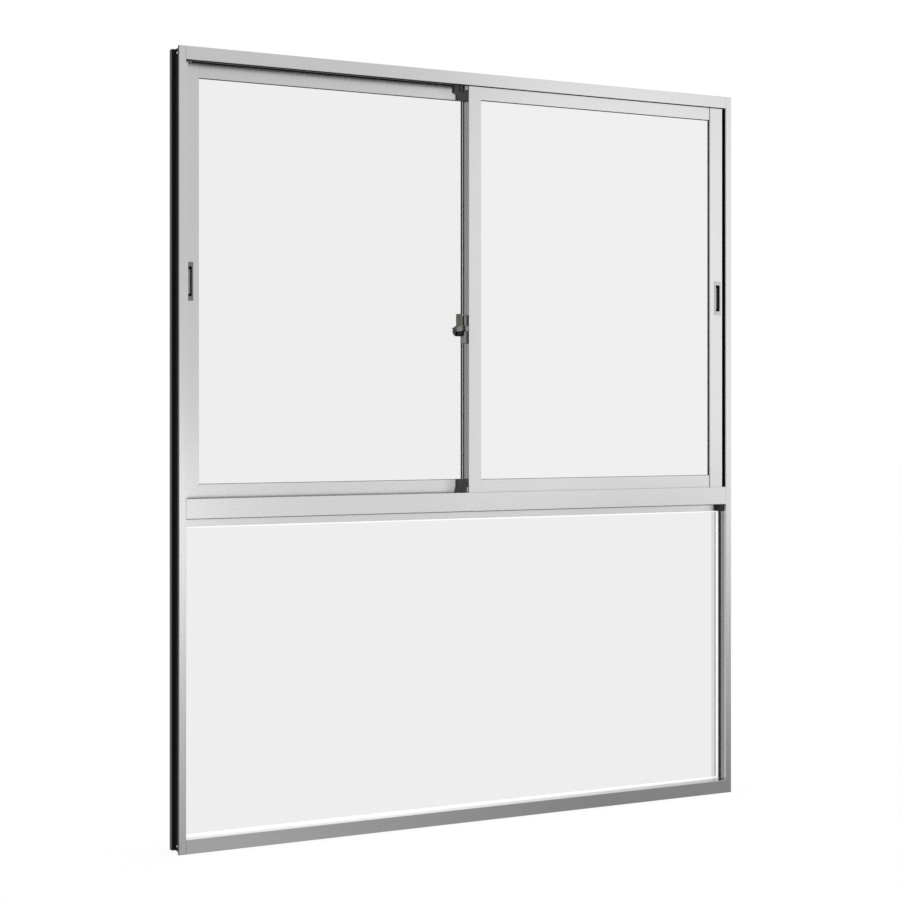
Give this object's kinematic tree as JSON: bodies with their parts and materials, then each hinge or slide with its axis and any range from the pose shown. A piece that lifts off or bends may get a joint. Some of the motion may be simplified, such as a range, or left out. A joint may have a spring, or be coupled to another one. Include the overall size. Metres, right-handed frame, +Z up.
{
  "type": "combination window, sliding pair over a fixed light",
  "caption": "Aluminium window frame with a horizontally sliding pair of glazed sashes above a transom and a fixed glazed light below.",
  "frame": {"origin": "middle of the sill's front foot, on its flat underside, half way along the window's width", "axes": "+X along the width, to the right as seen from the room; +Y from the room to the outside, through the frame's depth; +Z up"},
  "size_m": [1.58, 0.07, 1.9],
  "materials": {
    "frame_aluminium": "silver anodised, satin",
    "sash_aluminium": "silver anodised, satin",
    "fixed_glass": "clear float glass",
    "sash_glass": "clear float glass",
    "pale_seal": "pale silicone seal",
    "glazing_gasket": "dark grey glazing channel",
    "track_steel": "stainless track cap",
    "pull_steel": "stainless finger pull",
    "roller_nylon": "moulded nylon",
    "lock_metal": "grey painted zinc casting",
    "keeper_metal": "dark painted steel",
    "black_plastic": "moulded"
  },
  "bodies": {
    "root": {"left_jamb": "frame_aluminium", "right_jamb": "frame_aluminium", "head": "frame_aluminium", "transom": "frame_aluminium", "sill": "frame_aluminium", "left_glazing_filler": "frame_aluminium", "right_glazing_filler": "frame_aluminium", "left_bead": "frame_aluminium", "right_bead": "frame_aluminium", "top_bead": "frame_aluminium", "bottom_bead": "frame_aluminium", "fixed_glass": "fixed_glass", "fixed_seal": "pale_seal", "inner_track": "track_steel", "outer_track": "track_steel", "inner_lock_stile": "sash_aluminium", "inner_meeting_stile": "sash_aluminium", "inner_top_rail": "sash_aluminium", "inner_bottom_rail": "sash_aluminium", "inner_glass": "sash_glass", "inner_gasket": "glazing_gasket", "inner_pull": "pull_steel", "inner_roller_left": "roller_nylon", "inner_roller_right": "roller_nylon", "outer_lock_stile": "sash_aluminium", "outer_meeting_stile": "sash_aluminium", "outer_top_rail": "sash_aluminium", "outer_bottom_rail": "sash_aluminium", "outer_glass": "sash_glass", "outer_gasket": "glazing_gasket", "outer_pull": "pull_steel", "outer_roller_left": "roller_nylon", "outer_roller_right": "roller_nylon", "crescent_base": "black_plastic", "crescent_housing": "lock_metal", "crescent_catch": "lock_metal", "crescent_lever": "lock_metal", "crescent_keeper": "keeper_metal", "upper_draft_block": "black_plastic", "lower_draft_block": "black_plastic"}
  },
  "joints": []
}
